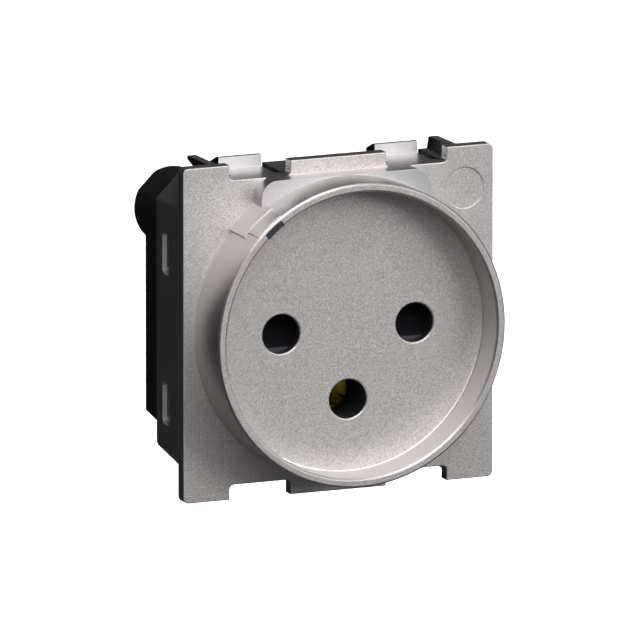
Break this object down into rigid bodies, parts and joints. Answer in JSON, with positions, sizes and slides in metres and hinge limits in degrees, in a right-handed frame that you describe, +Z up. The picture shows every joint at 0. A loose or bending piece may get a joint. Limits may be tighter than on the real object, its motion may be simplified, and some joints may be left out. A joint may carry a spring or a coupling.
{
  "type": "wall socket mechanism",
  "caption": "Square snap-in wall socket with a round raised collar, a recessed floor with pin holes, a sprung shutter and a black rear base with screw terminals.",
  "frame": {"origin": "centre of the recess floor's front face, midway between the line and neutral holes, where the face of a plug comes to rest", "axes": "-Y out of the wall towards the user, +Z up with the earth hole below, +X to the user's right"},
  "size_m": [0.0442, 0.0292, 0.045],
  "materials": {
    "grey_moulding": "satin metallic grey paint",
    "smoke_plastic": "smooth dark smoke",
    "black_plastic": "moulded black",
    "shutter_plastic": "moulded near-black",
    "spring_steel": "bright drawn wire",
    "contact_brass": "rolled strip",
    "plated_steel": "zinc plated"
  },
  "bodies": {
    "housing": {"front_cover": "grey_moulding", "rim_insert": "smoke_plastic", "rear_base": "black_plastic", "contact_carrier": "black_plastic", "shutter_spring_left": "spring_steel", "shutter_spring_right": "spring_steel", "line_contact": "contact_brass", "neutral_contact": "contact_brass", "earth_contact": "contact_brass", "line_nut": "contact_brass", "neutral_nut": "contact_brass", "earth_nut": "contact_brass", "line_washer": "plated_steel", "neutral_washer": "plated_steel", "earth_washer": "plated_steel", "line_screw": "plated_steel", "neutral_screw": "plated_steel", "earth_screw": "plated_steel"},
    "shutter": {"shutter": "shutter_plastic"}
  },
  "joints": [
    {"name": "shutter_slide", "type": "slide", "parent": "housing", "child": "shutter", "axis": [0, 0, -1], "range_m": [0, 0.0056], "stiffness_N_per_m": 60, "springref_m": -0.004, "deforming": ["shutter_spring_left", "shutter_spring_right"]}
  ]
}
